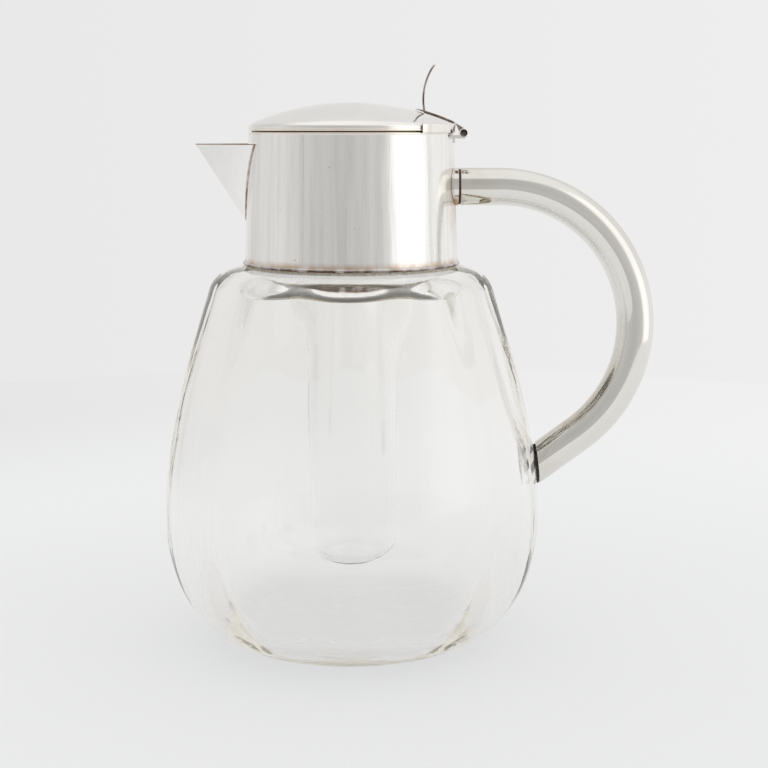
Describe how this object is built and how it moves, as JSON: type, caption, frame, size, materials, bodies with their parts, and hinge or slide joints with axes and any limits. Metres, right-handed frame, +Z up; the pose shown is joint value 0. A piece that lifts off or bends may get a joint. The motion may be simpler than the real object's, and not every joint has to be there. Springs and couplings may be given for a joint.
{
  "type": "glass water jug",
  "caption": "Ribbed thick glass jug with a silver-plated collar, beak spout, hinged dome lid with thumb lever, bent tube handle and hanging ice tube.",
  "frame": {"origin": "on the jug's axis, on the flat foot that it stands on", "axes": "+Z up along the jug's axis, +X towards the handle, -X towards the spout, +Y to the left of someone who looks from the handle to the spout"},
  "size_m": [0.2127, 0.1636, 0.2491],
  "materials": {
    "silver_plate": "polished silver plate on brass, with fine upright wipe marks and light warm tarnish at the seams",
    "jug_glass": "clear thick blown glass, smooth outside, optic waves inside",
    "tube_glass": "clear thin glass with a faint haze",
    "plaster": "matt setting plaster",
    "pin_brass": "dark tarnished brass",
    "raw_brass": "unplated brass",
    "black_rubber": "matt black rubber",
    "clear_gasket": "milky soft seal"
  },
  "bodies": {
    "jug": {"glass_body": "jug_glass", "plaster_bed": "plaster", "collar": "silver_plate", "collar_foot_wire": "silver_plate", "collar_rim_wire": "silver_plate", "spout": "silver_plate", "hinge_leaf": "silver_plate", "collar_knuckles": "silver_plate", "hinge_pin": "pin_brass", "handle_boss": "silver_plate", "handle_tube": "silver_plate", "handle_plug": "raw_brass", "handle_washer": "black_rubber", "handle_screw": "raw_brass", "handle_backing_plate": "raw_brass", "handle_buffer": "black_rubber", "carrier_ledge": "silver_plate", "insert_carrier": "silver_plate", "insert_gasket": "clear_gasket"},
    "ice_tube": {"ice_insert": "tube_glass"},
    "lid": {"lid": "silver_plate", "lid_rim_wire": "silver_plate", "lid_bezel": "silver_plate", "lid_hinge_plate": "silver_plate", "hinge_strap": "silver_plate", "lid_knuckle": "silver_plate", "thumb_lever": "silver_plate"}
  },
  "joints": [
    {"name": "lid_hinge", "type": "hinge", "parent": "jug", "child": "lid", "pos_m": [0.0476, 0, 0.2199], "axis": [0, 1, 0], "range_deg": [0, 100]},
    {"name": "insert_lift", "type": "slide", "parent": "jug", "child": "ice_tube", "axis": [0, 0, 1], "range_m": [0, 0.008]}
  ]
}
